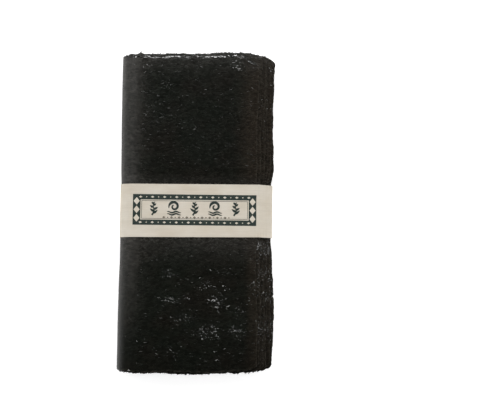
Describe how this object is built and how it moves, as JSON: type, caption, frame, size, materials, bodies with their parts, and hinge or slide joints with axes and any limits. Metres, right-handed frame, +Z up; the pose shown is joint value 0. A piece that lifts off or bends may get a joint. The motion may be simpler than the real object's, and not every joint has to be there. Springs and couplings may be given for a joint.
{
  "type": "banded bundle of folded nori sheets",
  "caption": "Whole dried seaweed sheets folded together into a flat slab, their open edges stepping out along one long side, held at the waist by a wide paper band with a framed label.",
  "frame": {"origin": "middle of the bundle's bounding box in plan, at the height of the surface it lies on", "axes": "+Z up out of the labelled face, +Y along the fold towards the end that is up when the label is read, +X from the fold to the open edges"},
  "size_m": [0.101, 0.2126, 0.0144],
  "materials": {
    "nori": "satin",
    "band_paper": "matte"
  },
  "bodies": {
    "root": {"sheet_01": "nori", "sheet_02": "nori", "sheet_03": "nori", "sheet_04": "nori", "sheet_05": "nori", "sheet_06": "nori", "sheet_07": "nori", "sheet_08": "nori", "sheet_09": "nori", "sheet_10": "nori", "paper_band": "band_paper"}
  },
  "joints": []
}
